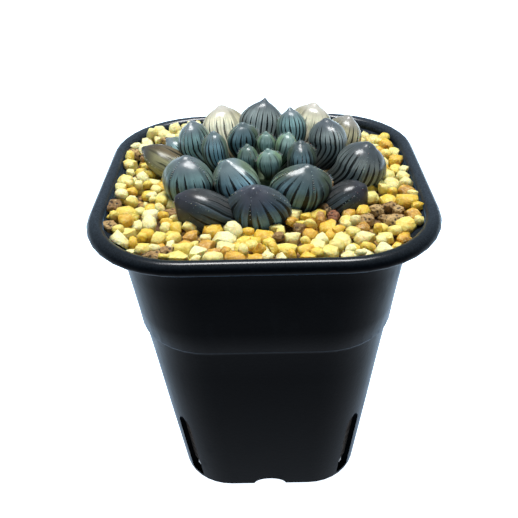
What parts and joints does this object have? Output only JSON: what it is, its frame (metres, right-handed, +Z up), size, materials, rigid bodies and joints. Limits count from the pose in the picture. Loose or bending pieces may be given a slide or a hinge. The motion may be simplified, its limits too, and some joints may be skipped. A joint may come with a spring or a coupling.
{
  "type": "potted haworthia",
  "caption": "Small windowed haworthia rosette in a rounded-square slit nursery pot, top-dressed with loose yellow gravel. It stands on its base.",
  "frame": {"origin": "under the middle of the pot, on the surface it stands on", "axes": "+Z up, the pot's opening faces +Z; -Y is the front; the pot's sides face +X, -X, +Y and -Y"},
  "size_m": [0.08, 0.08, 0.0968],
  "materials": {
    "pot": "black moulded polypropylene with a soft sheen",
    "soil": "dark gritty potting soil",
    "gravel": "loose pale yellow, cream, orange and brown gravel",
    "stem": "short fleshy stem, pale green-brown",
    "leaf": "glossy fleshy leaf, blue-grey to green window with dark lines"
  },
  "bodies": {
    "root": {"pot": "pot", "soil": "soil", "gravel": "gravel", "stem": "stem", "leaf_01": "leaf", "leaf_02": "leaf", "leaf_03": "leaf", "leaf_04": "leaf", "leaf_05": "leaf", "leaf_06": "leaf", "leaf_07": "leaf", "leaf_08": "leaf", "leaf_09": "leaf", "leaf_10": "leaf", "leaf_11": "leaf", "leaf_12": "leaf", "leaf_13": "leaf", "leaf_14": "leaf", "leaf_15": "leaf", "leaf_16": "leaf", "leaf_17": "leaf", "leaf_18": "leaf", "leaf_19": "leaf", "leaf_20": "leaf", "leaf_21": "leaf", "leaf_22": "leaf", "leaf_23": "leaf", "leaf_24": "leaf", "leaf_25": "leaf"}
  },
  "joints": []
}
